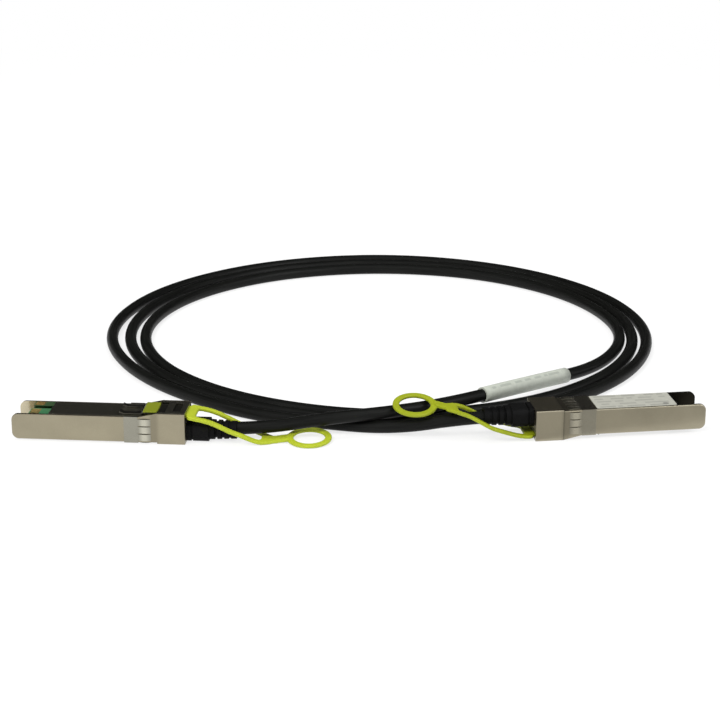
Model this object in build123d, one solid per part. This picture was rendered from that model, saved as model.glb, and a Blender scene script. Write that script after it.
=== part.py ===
from build123d import *
import math
import os

# Direct attach copper cable: two pluggable ends joined by one coiled twin-axial cable.
# Millimetres. Each plug is modelled in its own frame and then laid in place:
# X from the rear face to the nose, Y across, Z up from the face that carries the latch.

# Plug body
PLUG_LENGTH = 56.5
OVERLAP = 0.5
REAR_LENGTH = 9.0
REAR_WIDTH = 14.0
CAGE_WIDTH = 13.5
CAGE_HEIGHT = 8.5
LATCH_STEP = 1.4
TOP_STEP = 0.4
WALL = 1.0
TOP_WALL = 0.9
REAR_WALL = 1.0
EDGE_ROUND = 0.4
NOSE_ROUND = 2.2
RAMP_LENGTH = 6.3
TOP_SETBACK = 8.6
LATCH_SETBACK = 12.0
FIT = 0.05

# Latch-side cover with the latch channel
COVER = 1.0
SKIN = 0.45
SKIN_LENGTH = 6.6
CHANNEL_SIDE = 0.9
CHANNEL_DEPTH = 1.45
TRAY_FLOOR = 0.4
POCKET_DEPTH = 1.5
POCKET_HALF = 0.7
POCKET_START = 2.6
POCKET_CENTRE = 3.9
SPRING_LIFT = 0.1
WINDOW_START = 1.8
WINDOW_LENGTH = 2.5
WINDOW_HALF = 4.0
BOSS_FROM_NOSE = 41.7
BOSS_HALF = 1.3
BOSS_HEIGHT = 0.45
BOSS_LAND = 0.8
BOSS_LENGTH = 2.6

# Circuit card and what is on it
BOARD_THICK = 1.0
BOARD_STANDOFF = 0.95
BOARD_START = 13.4
BOARD_RECESS = 4.1
BOARD_SIDE_GAP = 0.15
TONGUE_STEP = 1.0
TONGUE_LENGTH = 7.0
TONGUE_CHAMFER = 0.6
RAIL_WIDTH = 1.1
RAIL_START = 14.5
RAIL_FROM_NOSE = 14.5
REAR_POST_SHARE = 0.4425
FRONT_POST_FROM_NOSE = 17.5
POST_RADIUS = 1.7
PIN_RADIUS = 1.0
PIN_IN_POST = 0.5
RIVET_RADIUS = 0.5
RIVET_HEAD = 0.95
RIVET_HEAD_DEPTH = 0.35
RIVET_LENGTH = 3.2
PAD_COUNT = 10
PAD_PITCH = 0.8
PAD_WIDTH = 0.54
PAD_LENGTH = 3.0
PAD_THICK = 0.06
PAD_FROM_TIP = 0.4
CHIP_SIZE = (3.0, 4.4, 1.1)
LEG_COUNT = 4
LEG_SIZE = (0.3, 0.8, 0.2)
LEG_PITCH = 0.65
CAPACITOR_FROM_TIP = 9.2
CAPACITOR_SIZE = (1.0, 0.5, 0.5)
CAPACITOR_PLACES = (-3.4, -1.8, 1.8, 3.4)

# Spring collar round the body
COLLAR_THICK = 0.12
COLLAR_TOP_BULGE = 0.24
COLLAR_SIDE_BULGE = 0.42
COLLAR_START = 11.0
COLLAR_ARCH = 4.2
COLLAR_BAND = 4.6
COLLAR_GAP = 0.35
COLLAR_MARGIN = 0.6
COLLAR_LIP = 1.2
TOP_FINGERS = 5
SIDE_FINGERS = 3

# Latch slider, its return springs and the pull strap
LATCH_TRAVEL = 2.3
SLIDER_THICK = 0.3
SLIDER_GAP = 0.15
SLIDER_SIDE_GAP = 0.7
SLIDER_SINK = 0.4
SLIDER_START = 1.4
SLIDER_STEP = 0.6
TAB_START = 8.2
TAB_WIDTH = 1.2
PRONG_LENGTH = 7.0
PRONG_INSIDE = 2.1
TIP_LENGTH = 1.4
TIP_RISE = 0.6
SPRING_FOLDS = 5
SPRING_THICK = 0.22
SPRING_WIDTH = 1.1
SPRING_HEIGHT = 1.0
STRAP_THICK = 1.1
TONGUE_THICK = 0.9
TONGUE_SIDE_GAP = 0.6
TONGUE_TAIL_THICK = 0.42
TONGUE_TAIL_HALF = 3.1
TAB_GAP = 0.2
HEAD_START = 9.3
HEAD_LENGTH = 4.7
HEAD_SIDE_GAP = 0.95
HEAD_LIFT = 0.08
PEG_RADIUS = 0.8
PEG_SPREAD = 2.2
STRAP_HALF = 6.2
SLOT_HALF = 4.1
SLOT_START = 3.0
SLOT_TAPER = 14.0
SLOT_END = 24.0
SLOT_END_HALF = 2.8
WEB_START = 28.0
WEB_HALF = 2.5
STRAP_ROUND = 1.2
STRAP_STEPS = 14
RING_RADIUS = 7.3
RING_HOLE = 5.1
RING_EDGE = 0.35
PEG_BURY = 0.2

# Cable, boot and crimp
CABLE_RADIUS = 2.1
EXIT_HEIGHT = 7.1
JACKET_END = 5.4
BOOT_WIDTH = 9.0
BOOT_HEIGHT = 6.3
BOOT_ROOT = 7.2
BOOT_LENGTH = 16.0
BOOT_SHOULDER = (7.6, 5.8)
BOOT_TIP = (6.2, 5.4)
BOOT_NECK = (7.4, 5.2)
BOOT_FLANGE_HALF = 4.7
BOOT_FLANGE = 1.2
BOOT_GROOVE = 0.35
BOOT_RIBS = 3
BOOT_RIB_PITCH = 2.2
BOOT_RIB_GAP = 0.9
BOOT_RIB_START = 9.0
BOOT_EDGE = 2.4
BOOT_ROUND = 2.0
TAIL_ROUND = 2.5
NOTCH_START = 1.5
NOTCH_LENGTH = 0.6
BOOT_PLAY = 0.05
CRIMP_LENGTH = 2.8
CRIMP_WALL = 0.4
CRIMP_PLAY = 0.02
CRIMP_SEAT = 0.1
WIRE_RADIUS = 0.4
WIRE_SPREAD = 0.85
WIRE_FAN = 2.6
WIRE_BEND = 1.2
WIRE_STRAIGHT = 1.4
WIRE_LANDING = 1.7
WIRE_END = 15.6

# Labels
LABEL_START = 20.3
LABEL_LENGTH = 26.6
LABEL_MARGIN = 0.65
LABEL_THICK = 0.12
LABEL_ROUND = 0.6
SLEEVE_WALL = 0.5
SLEEVE_PLAY = 0.05
SLEEVE_CORNER = (57.7, 35.5, 5.0)
SLEEVE_BEFORE = 0.56
SLEEVE_AFTER = 0.5

# Where the plugs lie: rear face on the floor plan, heading of the nose, and which way up
LEFT_PLACE = (-55.6, -3.7)
LEFT_HEADING = 175.1
RIGHT_PLACE = (55.7, -0.7)
RIGHT_HEADING = 8.3

# Where the cable runs between the plugs and the coil
EXIT_RUN = 20.0
CROSSING = [(-10.0, -3.2, 6.5), (10.0, 2.3, 6.6), (28.9, 10.5, 6.6)]
COIL_ENTRY = (86.3, 62.5)
COIL_EXIT = [(-15.0, 4.9), (11.0, -1.3)]

# The coil: centre on the floor, points in each turn, and the radius of each turn
# at eight directions, anticlockwise from the right
COIL_CENTRE = (7.0, 102.0)
POINTS_PER_TURN = 12
STATIONS_PER_TURN = 8
TURN_RADII = [
    89.3, 88.0, 86.6, 86.5, 86.5, 85.3, 90.4, 92.4,
    93.8, 93.5, 93.4, 94.0, 92.1, 89.9, 96.0, 97.8,
    98.9, 99.0, 100.6, 99.8, 99.2, 94.8, 100.6,
]
COIL_END = 960
RUN_SHARE = 0.45

# Sizes that follow
REAR_HEIGHT = LATCH_STEP + CAGE_HEIGHT + TOP_STEP
CAGE_TOP = LATCH_STEP + CAGE_HEIGHT
INNER_HALF = CAGE_WIDTH / 2 - WALL
REAR_INNER_HALF = REAR_WIDTH / 2 - WALL
COVER_TOP = LATCH_STEP + COVER
CHANNEL_TOP = SKIN + CHANNEL_DEPTH
CHANNEL_HALF = REAR_INNER_HALF - CHANNEL_SIDE
POCKET_FLOOR = CHANNEL_TOP + TRAY_FLOOR
TRAY_TOP = POCKET_FLOOR + POCKET_DEPTH
BOARD_BOTTOM = COVER_TOP + BOARD_STANDOFF
BOARD_TOP = BOARD_BOTTOM + BOARD_THICK
BOARD_END = PLUG_LENGTH - BOARD_RECESS
BOARD_HALF = INNER_HALF - BOARD_SIDE_GAP
TONGUE_HALF = BOARD_HALF - TONGUE_STEP
RAIL_END = PLUG_LENGTH - RAIL_FROM_NOSE
POST_PLACES = (PLUG_LENGTH * REAR_POST_SHARE, PLUG_LENGTH - FRONT_POST_FROM_NOSE)
CHIP_CENTRE = sum(POST_PLACES) / len(POST_PLACES)
CAPACITOR_CENTRE = BOARD_END - CAPACITOR_FROM_TIP
LABEL_WIDTH = CAGE_WIDTH - 2 * LABEL_MARGIN
SLIDER_HALF = CHANNEL_HALF - SLIDER_SIDE_GAP
SLIDER_TOP = LATCH_STEP - SLIDER_GAP
SLIDER_BOTTOM = SLIDER_TOP - SLIDER_THICK
PLATE_BOTTOM = SLIDER_BOTTOM - SLIDER_SINK
PLATE_TOP = PLATE_BOTTOM + SLIDER_THICK
TONGUE_HALF_WIDTH = CHANNEL_HALF - TONGUE_SIDE_GAP
HEAD_HALF = INNER_HALF - HEAD_SIDE_GAP
POCKET_END = TAB_START + SLIDER_THICK + FIT
STRAP_MIDDLE = PLATE_TOP + TONGUE_THICK / 2

# The free part of each strap: the height of its middle over the latch face at places
# behind the plug, how far its web is set over, and its ring: distance, offset, tilt
LEFT_DROP = [
    (0, STRAP_MIDDLE), (-3, 1.95), (-7, 2.8), (-10, 3.9), (-14.5, 6.0),
    (-18, 7.35), (-21.5, 8.8), (-24.5, 9.58), (-30, 9.5), (-36, 9.2), (-44, 9.12),
]
LEFT_WEB = -1.6
LEFT_RING = (39.4, 0.0, -4.5)
RIGHT_DROP = [
    (0, STRAP_MIDDLE), (-3, 1.35), (-6, 1.9), (-10, 3.2), (-14, 4.65),
    (-19, 7.3), (-23, 9.0), (-27, 9.5), (-32, 9.4), (-44, 9.25),
]
RIGHT_WEB = 3.6
RIGHT_RING = (37.1, 7.9, 11.0)


def span(x0, x1, y0, y1, z0, z1):
    """A block between two corners."""
    middle = Pos((x0 + x1) / 2, (y0 + y1) / 2, (z0 + z1) / 2)
    return middle * Box(x1 - x0, y1 - y0, z1 - z0)


def block(foot, size):
    """A block that stands on the point at the middle of its underside."""
    return Pos(foot[0], foot[1], foot[2] + size[2] / 2) * Box(*size)


def side_prism(outline, y0, y1):
    """An outline in X and Z, carried across from y0 to y1."""
    loop = Polyline(*[(x, y0, z) for x, z in outline], close=True)
    return extrude(make_face(loop), amount=y1 - y0, dir=(0, 1, 0))


def rounded_bar(x0, x1, width, height, radius, z_middle):
    """A bar along X with a rounded rectangular section."""
    start = Plane((x0, 0, z_middle), x_dir=(0, 1, 0), z_dir=(1, 0, 0))
    return extrude(start * RectangleRounded(width, height, radius), amount=x1 - x0)


def along(radius, x0, x1, z):
    """A round bar along X."""
    return Pos((x0 + x1) / 2, 0, z) * Rot(0, 90, 0) * Cylinder(radius, x1 - x0)


def top_shell():
    """Cast body: roof, both side walls with their cheeks, and the rear end."""
    half = CAGE_WIDTH / 2
    cage = span(REAR_LENGTH - OVERLAP, PLUG_LENGTH, -half, half, LATCH_STEP, CAGE_TOP)
    nose = cage.faces().sort_by(Axis.X)[-1].edges().filter_by(Axis.Y)
    cage = fillet(nose, NOSE_ROUND)
    cage = fillet(cage.edges().filter_by(Axis.X), EDGE_ROUND)
    rear = span(0, REAR_LENGTH, -REAR_WIDTH / 2, REAR_WIDTH / 2, 0, REAR_HEIGHT)
    rear = fillet(rear.edges().filter_by(Axis.X), EDGE_ROUND)
    ramp = side_prism(
        [
            (REAR_LENGTH - OVERLAP, 0),
            (REAR_LENGTH, 0),
            (REAR_LENGTH + RAMP_LENGTH, LATCH_STEP),
            (REAR_LENGTH + RAMP_LENGTH, COVER_TOP),
            (REAR_LENGTH - OVERLAP, COVER_TOP),
        ],
        -half,
        half,
    )
    body = cage + rear + ramp
    body -= span(REAR_WALL, PLUG_LENGTH + 1, -INNER_HALF, INNER_HALF, -1, CAGE_TOP - TOP_WALL)
    body -= span(REAR_WALL, REAR_LENGTH, -REAR_INNER_HALF, REAR_INNER_HALF, -1, REAR_HEIGHT - TOP_WALL)
    body -= span(-1, REAR_WALL + 1, -REAR_INNER_HALF, REAR_INNER_HALF, -1, TRAY_TOP)
    roof_end = PLUG_LENGTH - TOP_SETBACK
    body -= span(roof_end, PLUG_LENGTH + 1, -INNER_HALF, INNER_HALF, CAGE_HEIGHT / 2, CAGE_TOP + 1)
    body -= rounded_bar(-1, REAR_WALL + 1, *BOOT_NECK, BOOT_ROUND, EXIT_HEIGHT)
    seat = REAR_WALL + BOOT_FLANGE + CRIMP_LENGTH + CRIMP_SEAT
    body -= along(CABLE_RADIUS + CRIMP_WALL + CRIMP_SEAT, REAR_WALL, seat, EXIT_HEIGHT)
    for x in POST_PLACES:
        shoulder = CAGE_TOP - TOP_WALL / 2 - BOARD_TOP
        body += Pos(x, 0, BOARD_TOP + shoulder / 2) * Cylinder(POST_RADIUS, shoulder)
        pin = BOARD_TOP + PIN_IN_POST - COVER_TOP
        body += Pos(x, 0, COVER_TOP + pin / 2) * Cylinder(PIN_RADIUS, pin)
        body -= Pos(x, 0, COVER_TOP) * Cylinder(RIVET_RADIUS, 2 * RIVET_LENGTH)
    return body


def bottom_shell():
    """Latch-side cover: plate, card rails, latch boss and the tray that the latch runs in."""
    plate_end = PLUG_LENGTH - LATCH_SETBACK
    half = INNER_HALF - FIT
    rear_half = REAR_INNER_HALF - FIT
    cover = span(REAR_LENGTH - 1, plate_end, -half, half, LATCH_STEP, COVER_TOP)
    cover += span(0, REAR_LENGTH, -rear_half, rear_half, 0, TRAY_TOP)
    cover -= span(-1, REAR_LENGTH, -CHANNEL_HALF, CHANNEL_HALF, SKIN, CHANNEL_TOP)
    cover -= span(SKIN_LENGTH, REAR_LENGTH + 1, -CHANNEL_HALF, CHANNEL_HALF, -1, LATCH_STEP)
    window_end = WINDOW_START + WINDOW_LENGTH
    cover -= span(WINDOW_START, window_end, -WINDOW_HALF, WINDOW_HALF, -1, SKIN + FIT)
    slot_start = TAB_START - LATCH_TRAVEL - FIT
    for side in (-1, 1):
        near = side * POCKET_CENTRE - POCKET_HALF
        far = side * POCKET_CENTRE + POCKET_HALF
        cover -= span(POCKET_START, POCKET_END, near, far, POCKET_FLOOR, TRAY_TOP + 1)
        cover -= span(slot_start, POCKET_END, near, far, SKIN, TRAY_TOP)
        y0, y1 = sorted((side * half, side * (half - RAIL_WIDTH)))
        cover += span(RAIL_START, RAIL_END, y0, y1, COVER_TOP - FIT, BOARD_BOTTOM)
    shoulder = PLUG_LENGTH - BOSS_FROM_NOSE
    low = LATCH_STEP - BOSS_HEIGHT
    high = COVER_TOP - OVERLAP
    boss = [
        (shoulder, high),
        (shoulder, low),
        (shoulder + BOSS_LAND, low),
        (shoulder + BOSS_LENGTH, LATCH_STEP),
        (shoulder + BOSS_LENGTH, high),
    ]
    cover += side_prism(boss, -BOSS_HALF, BOSS_HALF)
    for x in POST_PLACES:
        cover -= Pos(x, 0, LATCH_STEP) * Cylinder(RIVET_RADIUS + CRIMP_PLAY, 3 * COVER)
        cover -= Pos(x, 0, LATCH_STEP) * Cylinder(RIVET_HEAD + CRIMP_PLAY, 2 * RIVET_HEAD_DEPTH)
    return cover


def cover_rivets():
    """Flush rivets that hold the cover to the posts of the body."""
    rivets = []
    for x in POST_PLACES:
        head = Cylinder(RIVET_HEAD, RIVET_HEAD_DEPTH)
        shank = Cylinder(RIVET_RADIUS - CRIMP_PLAY, RIVET_LENGTH)
        rivet = Pos(0, 0, RIVET_HEAD_DEPTH / 2) * head + Pos(0, 0, RIVET_LENGTH / 2) * shank
        rivets.append(Pos(x, 0, LATCH_STEP) * rivet)
    return rivets


def paddle_board():
    """Card with its edge tongue and the two holes for the posts."""
    shoulder = BOARD_END - TONGUE_LENGTH
    board = span(BOARD_START, shoulder, -BOARD_HALF, BOARD_HALF, BOARD_BOTTOM, BOARD_TOP)
    tongue = span(shoulder - 1, BOARD_END, -TONGUE_HALF, TONGUE_HALF, BOARD_BOTTOM, BOARD_TOP)
    corners = tongue.edges().filter_by(Axis.Z).group_by(Axis.X)[-1]
    board += chamfer(corners, TONGUE_CHAMFER)
    for x in POST_PLACES:
        board -= Pos(x, 0, BOARD_BOTTOM) * Cylinder(PIN_RADIUS + FIT, 3 * BOARD_THICK)
    return board


def contact_pads():
    """Edge contacts on both faces of the tongue."""
    x1 = BOARD_END - PAD_FROM_TIP
    first = -(PAD_COUNT - 1) * PAD_PITCH / 2
    pads = []
    for n in range(PAD_COUNT):
        y = first + n * PAD_PITCH
        for z in (BOARD_TOP, BOARD_BOTTOM - PAD_THICK):
            pads.append(block((x1 - PAD_LENGTH / 2, y, z), (PAD_LENGTH, PAD_WIDTH, PAD_THICK)))
    return pads


def memory_chip():
    """Small memory chip with four legs on each side."""
    chip = block((CHIP_CENTRE, 0, BOARD_TOP), CHIP_SIZE)
    reach = CHIP_SIZE[1] + 2 * LEG_SIZE[1]
    for n in range(LEG_COUNT):
        x = CHIP_CENTRE + (n - (LEG_COUNT - 1) / 2) * LEG_PITCH
        chip += block((x, 0, BOARD_TOP), (LEG_SIZE[0], reach, LEG_SIZE[2]))
    return chip


def board_capacitors():
    """Coupling capacitors behind the edge contacts, on both faces of the card."""
    parts = []
    for y in CAPACITOR_PLACES:
        for z in (BOARD_TOP, BOARD_BOTTOM - CAPACITOR_SIZE[2]):
            parts.append(block((CAPACITOR_CENTRE, y, z), CAPACITOR_SIZE))
    return parts


def signal_wires():
    """Two pairs of insulated conductors, fanned out to the two faces of the card."""
    levels = [
        (EXIT_HEIGHT + WIRE_SPREAD, BOARD_TOP + WIRE_RADIUS),
        (EXIT_HEIGHT - WIRE_SPREAD, BOARD_BOTTOM - WIRE_RADIUS),
    ]
    wires = []
    for side in (-1, 1):
        for start, end in levels:
            points = [
                (JACKET_END, side * WIRE_SPREAD, start),
                (JACKET_END + WIRE_STRAIGHT, side * WIRE_SPREAD, start),
                (BOARD_START - WIRE_LANDING, side * WIRE_FAN, end),
                (WIRE_END, side * WIRE_FAN, end),
            ]
            path = FilletPolyline(*points, radius=WIRE_BEND)
            section = Plane(points[0], z_dir=(1, 0, 0)) * Circle(WIRE_RADIUS)
            wires.append(sweep(section, path=path))
    return wires


def crimp_ring():
    """Ferrule on the end of the jacket, against the boot's flange."""
    start = REAR_WALL + BOOT_FLANGE
    outer = along(CABLE_RADIUS + CRIMP_WALL, start, start + CRIMP_LENGTH, EXIT_HEIGHT)
    return outer - along(CABLE_RADIUS + CRIMP_PLAY, start - 1, start + CRIMP_LENGTH + 1, EXIT_HEIGHT)


def strain_relief():
    """Moulded boot: flange inside the rear wall, neck, block, and a tapered tail."""
    middle = REAR_HEIGHT - BOOT_HEIGHT / 2 - FIT
    boot = rounded_bar(-BOOT_ROOT, 0, BOOT_WIDTH, BOOT_HEIGHT, BOOT_ROUND, middle)
    shoulder = Plane((-BOOT_ROOT, 0, EXIT_HEIGHT), x_dir=(0, 1, 0), z_dir=(-1, 0, 0))
    tip = Plane((-BOOT_LENGTH, 0, EXIT_HEIGHT), x_dir=(0, 1, 0), z_dir=(-1, 0, 0))
    root = shoulder * RectangleRounded(*BOOT_SHOULDER, TAIL_ROUND)
    boot += loft([root, tip * RectangleRounded(*BOOT_TIP, TAIL_ROUND)])
    neck_size = (BOOT_NECK[0] - 2 * FIT, BOOT_NECK[1] - 2 * FIT)
    neck = rounded_bar(-OVERLAP, REAR_WALL, *neck_size, BOOT_ROUND - FIT, EXIT_HEIGHT)
    bottom = TRAY_TOP + FIT
    top = REAR_HEIGHT - TOP_WALL - FIT
    half = BOOT_FLANGE_HALF
    boot += neck + span(REAR_WALL, REAR_WALL + BOOT_FLANGE, -half, half, bottom, top)
    notch_end = NOTCH_START + NOTCH_LENGTH
    notch = span(-notch_end, -NOTCH_START, -BOOT_WIDTH, BOOT_WIDTH, 0, 2 * BOOT_HEIGHT)
    core_size = (BOOT_WIDTH - 2 * BOOT_GROOVE, BOOT_HEIGHT - 2 * BOOT_GROOVE)
    boot -= notch - rounded_bar(-notch_end, -NOTCH_START, *core_size, BOOT_ROUND - BOOT_GROOVE, middle)
    for n in range(BOOT_RIBS):
        x = -BOOT_RIB_START - n * BOOT_RIB_PITCH
        ring = span(x - BOOT_RIB_GAP, x, -BOOT_WIDTH, BOOT_WIDTH, 0, 2 * BOOT_HEIGHT)
        waist = (BOOT_TIP[0] - BOOT_GROOVE, BOOT_TIP[1] - BOOT_GROOVE)
        boot -= ring - rounded_bar(x - BOOT_RIB_GAP, x, *waist, BOOT_EDGE, EXIT_HEIGHT)
    boot -= along(CABLE_RADIUS + BOOT_PLAY, -BOOT_LENGTH - 1, REAR_WALL + BOOT_FLANGE + 1, EXIT_HEIGHT)
    return boot


def collar_finger(bulge):
    """Outline of one arched finger: along the body, and out from its wall."""
    x0 = COLLAR_START
    x1 = COLLAR_START + COLLAR_ARCH
    middle = (x0 + x1) / 2
    outer = ThreePointArc((x1, COLLAR_THICK), (middle, COLLAR_THICK + bulge), (x0, COLLAR_THICK))
    inner = ThreePointArc((x0, 0), (middle, bulge), (x1, 0))
    ends = [Line((x0, COLLAR_THICK), (x0, 0)), Line((x1, 0), (x1, COLLAR_THICK))]
    return make_face([outer, ends[0], inner, ends[1]])


def emi_collar():
    """Spring collar: a band round roof and sides, with arched fingers towards the rear."""
    x0 = COLLAR_START + COLLAR_ARCH
    half = CAGE_WIDTH / 2
    x1 = x0 + COLLAR_BAND
    out = half + COLLAR_THICK
    lip = half - COLLAR_LIP
    band = span(x0, x1, -out, out, LATCH_STEP - COLLAR_THICK, CAGE_TOP + COLLAR_THICK)
    band -= span(x0 - 1, x1 + 1, -half, half, LATCH_STEP, CAGE_TOP)
    band -= span(x0 - 1, x1 + 1, -lip, lip, 0, LATCH_STEP + FIT)
    finger = collar_finger(COLLAR_TOP_BULGE)
    top_width = (CAGE_WIDTH - 2 * COLLAR_MARGIN + COLLAR_GAP) / TOP_FINGERS - COLLAR_GAP
    for n in range(TOP_FINGERS):
        y = -half + COLLAR_MARGIN + n * (top_width + COLLAR_GAP)
        roof = Plane((0, y + top_width, CAGE_TOP), x_dir=(1, 0, 0), z_dir=(0, -1, 0))
        band += extrude(roof * finger, amount=top_width)
    finger = collar_finger(COLLAR_SIDE_BULGE)
    side_width = (CAGE_HEIGHT - 2 * COLLAR_MARGIN + COLLAR_GAP) / SIDE_FINGERS - COLLAR_GAP
    for n in range(SIDE_FINGERS):
        z = LATCH_STEP + COLLAR_MARGIN + n * (side_width + COLLAR_GAP)
        far_wall = Plane((0, half, z), x_dir=(1, 0, 0), z_dir=(0, 0, 1))
        near_wall = Plane((0, -half, z + side_width), x_dir=(1, 0, 0), z_dir=(0, 0, -1))
        band += extrude(far_wall * finger, amount=side_width)
        band += extrude(near_wall * finger, amount=side_width)
    return band


def latch_slider():
    """Stamped slider: plate in the channel, step, two prongs with raised tips, spring tabs."""
    step_start = HEAD_START + HEAD_LENGTH
    neck_end = step_start + SLIDER_STEP
    tip_start = neck_end + PRONG_LENGTH - TIP_LENGTH
    profile = [
        (SLIDER_START, PLATE_BOTTOM),
        (step_start, PLATE_BOTTOM),
        (neck_end, SLIDER_BOTTOM),
        (neck_end, SLIDER_TOP),
        (step_start, PLATE_TOP),
        (SLIDER_START, PLATE_TOP),
    ]
    tip = [
        (tip_start, SLIDER_BOTTOM),
        (tip_start + TIP_LENGTH, SLIDER_BOTTOM - TIP_RISE),
        (tip_start + TIP_LENGTH, SLIDER_TOP - TIP_RISE),
        (tip_start, SLIDER_TOP),
    ]
    plate = side_prism(profile, -SLIDER_HALF, SLIDER_HALF)
    for side in (-1, 1):
        y0, y1 = sorted((side * PRONG_INSIDE, side * SLIDER_HALF))
        plate += span(neck_end, tip_start, y0, y1, SLIDER_BOTTOM, SLIDER_TOP)
        plate += side_prism(tip, y0, y1)
        tab_foot = (TAB_START + SLIDER_THICK / 2, side * POCKET_CENTRE, PLATE_BOTTOM)
        plate += block(tab_foot, (SLIDER_THICK, TAB_WIDTH, TRAY_TOP - TAB_GAP - PLATE_BOTTOM))
        hole = Cylinder(PEG_RADIUS, 4 * SLIDER_THICK)
        plate -= Pos(HEAD_START + HEAD_LENGTH / 2, side * PEG_SPREAD, PLATE_TOP) * hole
    return plate


def latch_springs():
    """Folded leaf springs that push the slider back towards the nose."""
    x0 = POCKET_START + FIT
    x1 = TAB_START - FIT
    low = POCKET_FLOOR + SPRING_LIFT
    high = low + SPRING_HEIGHT
    ridge = []
    for n in range(SPRING_FOLDS + 1):
        ridge.append((x0 + (x1 - x0) * n / SPRING_FOLDS, high if n % 2 else low))
    outline = [(x, z + SPRING_THICK) for x, z in ridge] + [(x, z) for x, z in reversed(ridge)]
    springs = []
    for side in (-1, 1):
        y0 = side * POCKET_CENTRE - SPRING_WIDTH / 2
        springs.append(side_prism(outline, y0, y0 + SPRING_WIDTH))
    return springs


def strap_outline(web, ring):
    """Flat outline of the free part: two arms round the boot, and the web to the finger ring."""
    shoulder = SLOT_END_HALF + STRAP_HALF - SLOT_HALF
    start = -2 * TAB_GAP
    arms = make_face(
        Polyline(
            (start, -STRAP_HALF),
            (start, STRAP_HALF),
            (-SLOT_TAPER, STRAP_HALF),
            (-SLOT_END, shoulder + web / 2),
            (-WEB_START, WEB_HALF + web),
            (-WEB_START, -WEB_HALF + web),
            (-SLOT_END, -shoulder + web / 2),
            (-SLOT_TAPER, -STRAP_HALF),
            close=True,
        )
    )
    slot = make_face(
        Polyline(
            (-SLOT_START, -SLOT_HALF),
            (-SLOT_START, SLOT_HALF),
            (-SLOT_TAPER, SLOT_HALF),
            (-SLOT_END, SLOT_END_HALF + web / 2),
            (-SLOT_END, -SLOT_END_HALF + web / 2),
            (-SLOT_TAPER, -SLOT_HALF),
            close=True,
        )
    )
    near = ring[0] - (RING_RADIUS + RING_HOLE) / 2
    strip = make_face(
        Polyline(
            (-WEB_START + 1, WEB_HALF + web),
            (-WEB_START + 1, -WEB_HALF + web),
            (-near, -WEB_HALF + ring[1]),
            (-near, WEB_HALF + ring[1]),
            close=True,
        )
    )
    return fillet(arms.vertices(), STRAP_ROUND) + strip - fillet(slot.vertices(), STRAP_ROUND)


def bent_sheet(drop):
    """Side profile of the free part, as thick as the strap, carried across its width."""
    run = Spline(*[(x, 0, z) for x, z in drop])
    above = []
    below = []
    for n in range(STRAP_STEPS + 1):
        share = n / STRAP_STEPS
        tangent = run % share
        normal = Vector(-tangent.Z, 0, tangent.X).normalized() * (STRAP_THICK / 2)
        above.append(run @ share + normal)
        below.append(run @ share - normal)
    ends = [Line(above[0], below[0]), Line(above[-1], below[-1])]
    side = make_face([Spline(*above), ends[1], Spline(*below), ends[0]])
    return extrude(side, amount=2 * STRAP_HALF, dir=(0, 1, 0), both=True)


def finger_ring(drop, ring):
    """Flat ring at the strap's end, tilted about the strap's own line."""
    distance, offset, tilt = ring
    plate = Cylinder(RING_RADIUS, STRAP_THICK) - Cylinder(RING_HOLE, 2 * STRAP_THICK)
    plate = fillet(plate.edges().filter_by(GeomType.CIRCLE), RING_EDGE)
    return Pos(-distance, offset, drop[-1][1]) * Rot(tilt, 0, 0) * plate


def pull_strap(drop, web, ring):
    """Moulded strap: head and tongue round the slider's plate, and the free part with its ring."""
    flat = extrude(strap_outline(web, ring), amount=2 * REAR_HEIGHT, both=True)
    strap = bent_sheet(drop) & flat
    strap += finger_ring(drop, ring)
    tongue_end = TAB_START - TAB_GAP
    wide = TONGUE_HALF_WIDTH
    thin = TONGUE_TAIL_HALF
    tail_top = PLATE_TOP + TONGUE_TAIL_THICK
    strap += span(-3 * TAB_GAP, tongue_end, -wide, wide, PLATE_TOP, PLATE_TOP + TONGUE_THICK)
    head_end = HEAD_START + HEAD_LENGTH
    strap += span(tongue_end - OVERLAP, head_end - TAB_GAP, -thin, thin, PLATE_TOP, tail_top)
    head = span(HEAD_START, head_end, -HEAD_HALF, HEAD_HALF, HEAD_LIFT, PLATE_BOTTOM)
    strap += fillet(head.edges().group_by(Axis.Z)[0], HEAD_LIFT)
    peg_foot = PLATE_BOTTOM - PEG_BURY
    peg = Cylinder(PEG_RADIUS - CRIMP_PLAY, PLATE_TOP + PEG_BURY - peg_foot)
    for y in (-PEG_SPREAD, PEG_SPREAD):
        strap += Pos(HEAD_START + HEAD_LENGTH / 2, y, (PLATE_TOP + PLATE_BOTTOM) / 2) * peg
    return strap


def right_label():
    """Thin label on the roof of the right plug."""
    middle = LABEL_START + LABEL_LENGTH / 2
    label = block((middle, 0, CAGE_TOP), (LABEL_LENGTH, LABEL_WIDTH, LABEL_THICK))
    return fillet(label.edges().filter_by(Axis.Z), LABEL_ROUND)


def lay_left(solid):
    """Lays a piece of the left plug: upside down, nose to the left."""
    return Pos(*LEFT_PLACE, REAR_HEIGHT) * Rot(0, 0, LEFT_HEADING) * Rot(180, 0, 0) * solid


def lay_right(solid):
    """Lays a piece of the right plug: right way up, nose to the right."""
    return Pos(*RIGHT_PLACE, 0) * Rot(0, 0, RIGHT_HEADING) * solid


def left_axis(x):
    """A point on the left plug's cable axis, x ahead of its rear face."""
    a = math.radians(LEFT_HEADING)
    return (LEFT_PLACE[0] + x * math.cos(a), LEFT_PLACE[1] + x * math.sin(a), REAR_HEIGHT - EXIT_HEIGHT)


def right_axis(x):
    """A point on the right plug's cable axis, x ahead of its rear face."""
    a = math.radians(RIGHT_HEADING)
    return (RIGHT_PLACE[0] + x * math.cos(a), RIGHT_PLACE[1] + x * math.sin(a), EXIT_HEIGHT)


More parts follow.
